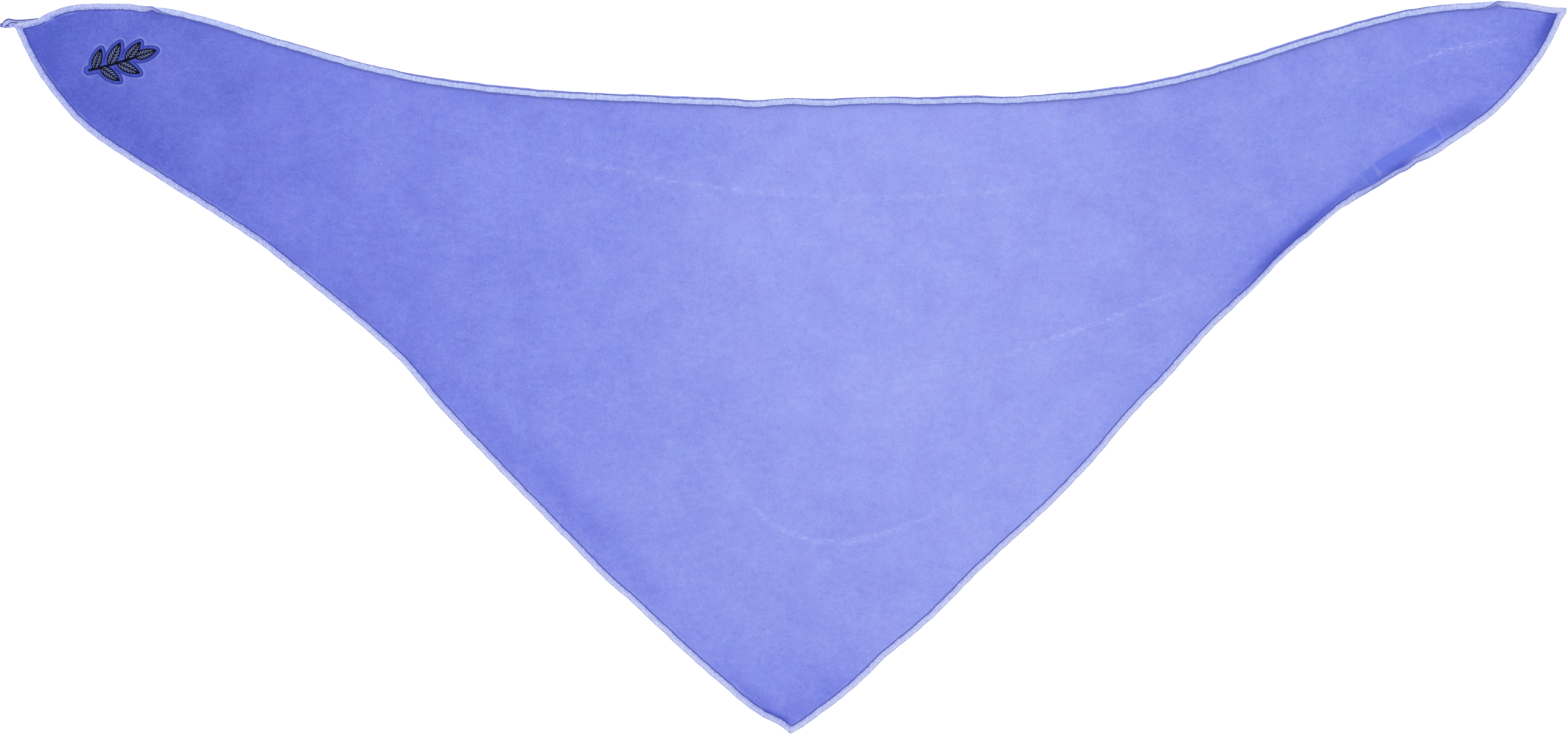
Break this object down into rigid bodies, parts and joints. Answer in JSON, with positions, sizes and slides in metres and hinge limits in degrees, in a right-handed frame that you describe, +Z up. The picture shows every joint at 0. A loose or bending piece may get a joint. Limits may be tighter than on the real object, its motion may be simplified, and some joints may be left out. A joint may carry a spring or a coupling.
{
  "type": "neckerchief",
  "caption": "Triangular cloth neckerchief with overlocked edges, lying flat, with an embroidered sprig near one tip.",
  "frame": {"origin": "middle of the neckerchief's box, on the surface that it lies on", "axes": "+X along the long edge towards the right tip, +Y towards the long edge, +Z up from the surface, front face up"},
  "size_m": [0.999, 0.4674, 0.0078],
  "materials": {
    "cloth": "brushed cotton, garment dyed periwinkle blue, matt",
    "overlock_thread": "overlocked cotton thread, pale blue",
    "motif_ground": "felted cloth patch, saturated blue",
    "embroidery": "satin stitched grey-blue thread with black outlines",
    "label": "woven tape, blank"
  },
  "bodies": {
    "root": {"cloth_panel": "cloth", "overlock_edge_top": "overlock_thread", "overlock_edge_left": "overlock_thread", "overlock_edge_right": "overlock_thread", "thread_tail_left": "overlock_thread", "motif_patch": "motif_ground", "motif_stitching": "embroidery", "woven_label": "label", "size_tag": "label"}
  },
  "joints": []
}
